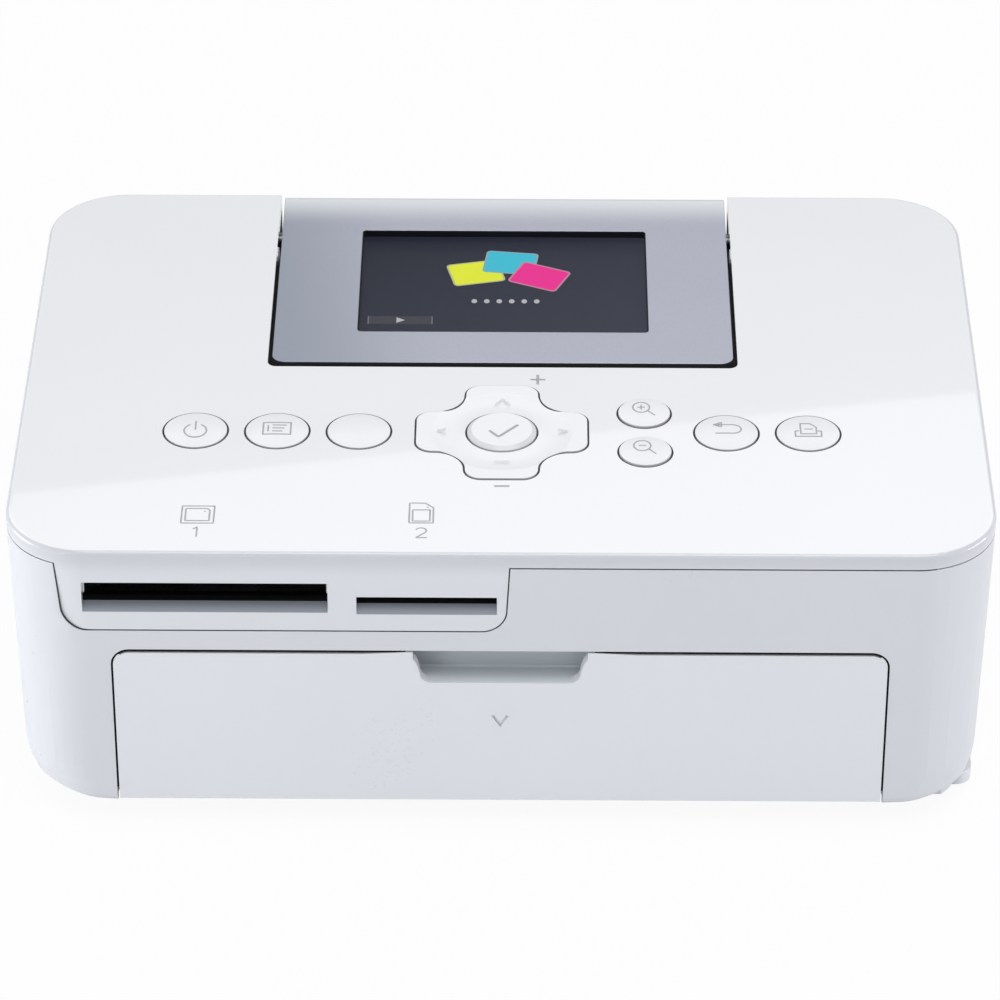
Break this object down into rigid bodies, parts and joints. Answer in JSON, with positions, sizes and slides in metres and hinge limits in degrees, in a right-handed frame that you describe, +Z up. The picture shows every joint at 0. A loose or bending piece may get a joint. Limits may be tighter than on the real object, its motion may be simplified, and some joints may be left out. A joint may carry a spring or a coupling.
{
  "type": "compact photo printer",
  "caption": "Compact dye-sublimation photo printer with keys, four-way pad, tilting screen panel, card slots, paper door and ribbon door.",
  "frame": {"origin": "centre of the footprint on the surface the feet stand on", "axes": "+X to the right seen from the front, +Y towards the back, +Z up"},
  "size_m": [0.178, 0.127, 0.0616],
  "materials": {
    "gloss_white": "high-gloss white moulding",
    "shell_white": "satin white moulding",
    "base_plastic": "fine-textured light grey moulding",
    "key_white": "satin white key caps with thin grey legends",
    "silver_panel": "silver-blue grey paint with a fine grain",
    "screen_glass": "smoked clear window",
    "display": "dark display glass in a frame",
    "dark_plastic": "dark grey moulding",
    "rubber": "black rubber",
    "key_rubber": "grey silicone",
    "guide_plastic": "grey moulding",
    "board_green": "solder-masked board",
    "steel": "bright rolled steel",
    "bright_metal": "tinned sheet",
    "aluminium": "extruded aluminium",
    "brass": "turned brass",
    "gear_plastic": "natural acetal",
    "spool_white": "white moulding",
    "ribbon_yellow": "dye film",
    "ribbon_spent": "used dye film",
    "cable_white": "flat white cable"
  },
  "bodies": {
    "root": {"base_tray": "base_plastic", "housing": "shell_white", "top_cover": "gloss_white", "rubber_feet": "rubber", "case_screws": "steel", "screen_well": "dark_plastic", "screen_hinge_pins": "steel", "key_mat": "key_rubber", "key_board": "board_green", "paper_guide": "guide_plastic", "wide_card_socket": "bright_metal", "small_card_socket": "bright_metal", "card_board": "board_green", "main_board": "board_green", "dc_jack": "dark_plastic", "usb_device_port": "bright_metal", "usb_host_port": "bright_metal", "port_boards": "board_green", "chassis_frame": "steel", "roller_bushes": "brass", "idler_stud": "steel", "motor": "steel", "motor_bracket": "steel", "ribbon_cassette": "dark_plastic", "ribbon_film": "ribbon_yellow", "fan_frame": "dark_plastic", "flat_cables": "cable_white"},
    "paper_door": {"paper_door": "shell_white"},
    "ink_door": {"ink_door": "shell_white"},
    "screen_unit": {"screen_bezel": "silver_panel", "screen_window": "screen_glass", "screen_display": "display", "screen_back": "dark_plastic"},
    "power_button": {"power_button": "key_white"},
    "menu_button": {"menu_button": "key_white"},
    "edit_button": {"edit_button": "key_white"},
    "zoom_in_button": {"zoom_in_button": "key_white"},
    "zoom_out_button": {"zoom_out_button": "key_white"},
    "back_button": {"back_button": "key_white"},
    "print_button": {"print_button": "key_white"},
    "ok_button": {"ok_button": "key_white"},
    "pad_seat": {"pad_seat": "rubber"},
    "direction_pad": {"direction_pad": "key_white"},
    "print_head": {"thermal_head": "aluminium"},
    "platen": {"platen_roller": "rubber", "platen_gear": "gear_plastic"},
    "feed_drive": {"feed_roller": "steel", "feed_gear": "gear_plastic"},
    "pinch_roller": {"pinch_roller": "rubber"},
    "pickup_roller": {"pickup_roller": "rubber"},
    "idler_gear": {"idler_gear": "gear_plastic"},
    "takeup_drive": {"takeup_gear": "gear_plastic", "takeup_spool": "spool_white", "takeup_roll": "ribbon_spent"},
    "supply_spool": {"supply_spool": "spool_white", "supply_roll": "ribbon_yellow"},
    "motor_pinion": {"motor_pinion": "brass"},
    "fan_rotor": {"fan_rotor": "dark_plastic"}
  },
  "joints": [
    {"name": "paper_door_hinge", "type": "hinge", "parent": "root", "child": "paper_door", "pos_m": [0, -0.06015, 0.0088], "axis": [1, 0, 0], "range_deg": [0, 90]},
    {"name": "ink_door_hinge", "type": "hinge", "parent": "root", "child": "ink_door", "pos_m": [0.08609, 0, 0.0136], "axis": [0, 1, 0], "range_deg": [0, 90]},
    {"name": "screen_tilt", "type": "hinge", "parent": "root", "child": "screen_unit", "pos_m": [0, 0.0565, 0.054], "axis": [-1, 0, 0], "range_deg": [0, 45]},
    {"name": "power_press", "type": "slide", "parent": "root", "child": "power_button", "axis": [0, 0, -1], "range_m": [0, 0.0004], "stiffness_N_per_m": 600},
    {"name": "menu_press", "type": "slide", "parent": "root", "child": "menu_button", "axis": [0, 0, -1], "range_m": [0, 0.0004], "stiffness_N_per_m": 600},
    {"name": "edit_press", "type": "slide", "parent": "root", "child": "edit_button", "axis": [0, 0, -1], "range_m": [0, 0.0004], "stiffness_N_per_m": 600},
    {"name": "zoom_in_press", "type": "slide", "parent": "root", "child": "zoom_in_button", "axis": [0, 0, -1], "range_m": [0, 0.0004], "stiffness_N_per_m": 600},
    {"name": "zoom_out_press", "type": "slide", "parent": "root", "child": "zoom_out_button", "axis": [0, 0, -1], "range_m": [0, 0.0004], "stiffness_N_per_m": 600},
    {"name": "back_press", "type": "slide", "parent": "root", "child": "back_button", "axis": [0, 0, -1], "range_m": [0, 0.0004], "stiffness_N_per_m": 600},
    {"name": "print_press", "type": "slide", "parent": "root", "child": "print_button", "axis": [0, 0, -1], "range_m": [0, 0.0004], "stiffness_N_per_m": 600},
    {"name": "ok_press", "type": "slide", "parent": "root", "child": "ok_button", "axis": [0, 0, -1], "range_m": [0, 0.0004], "stiffness_N_per_m": 600},
    {"name": "pad_rock_x", "type": "hinge", "parent": "root", "child": "pad_seat", "pos_m": [0, -0.0235, 0.05635], "axis": [1, 0, 0], "range_deg": [-1.5, 1.5], "stiffness_Nm_per_rad": 1},
    {"name": "pad_rock_y", "type": "hinge", "parent": "pad_seat", "child": "direction_pad", "pos_m": [0, -0.0235, 0.05635], "axis": [0, 1, 0], "range_deg": [-1.5, 1.5], "stiffness_Nm_per_rad": 1},
    {"name": "head_lift", "type": "hinge", "parent": "root", "child": "print_head", "pos_m": [0, 0.053, 0.0395], "axis": [-1, 0, 0], "range_deg": [0, 5]},
    {"name": "platen_spin", "type": "hinge", "parent": "root", "child": "platen", "pos_m": [0, 0.018, 0.017], "axis": [1, 0, 0], "continuous": true},
    {"name": "feed_spin", "type": "hinge", "parent": "root", "child": "feed_drive", "pos_m": [0, 0.05008, 0.0185], "axis": [1, 0, 0], "continuous": true},
    {"name": "idler_spin", "type": "hinge", "parent": "root", "child": "idler_gear", "pos_m": [-0.063, 0.03479, 0.01778], "axis": [1, 0, 0], "continuous": true},
    {"name": "takeup_spin", "type": "hinge", "parent": "root", "child": "takeup_drive", "pos_m": [0, 0.035, 0.03473], "axis": [1, 0, 0], "continuous": true},
    {"name": "supply_spin", "type": "hinge", "parent": "root", "child": "supply_spool", "pos_m": [0, 0.001, 0.03473], "axis": [1, 0, 0], "continuous": true},
    {"name": "pinion_spin", "type": "hinge", "parent": "root", "child": "motor_pinion", "pos_m": [-0.066, 0.00425, 0.01408], "axis": [1, 0, 0], "continuous": true},
    {"name": "pinch_spin", "type": "hinge", "parent": "root", "child": "pinch_roller", "pos_m": [0, 0.05008, 0.0259], "axis": [1, 0, 0], "continuous": true},
    {"name": "pickup_spin", "type": "hinge", "parent": "root", "child": "pickup_roller", "pos_m": [0, -0.017, 0.025], "axis": [1, 0, 0], "continuous": true},
    {"name": "fan_spin", "type": "hinge", "parent": "root", "child": "fan_rotor", "pos_m": [-0.082, 0.033, 0.036], "axis": [1, 0, 0], "continuous": true}
  ],
  "couplings": [
    {"joint": "feed_spin", "follows": "platen_spin", "ratio": 1.1667},
    {"joint": "idler_spin", "follows": "platen_spin", "ratio": -1.68},
    {"joint": "takeup_spin", "follows": "platen_spin", "ratio": -0.75},
    {"joint": "supply_spin", "follows": "platen_spin", "ratio": -0.52989},
    {"joint": "pinion_spin", "follows": "platen_spin", "ratio": -3},
    {"joint": "pinch_spin", "follows": "platen_spin", "ratio": -1.5556}
  ]
}
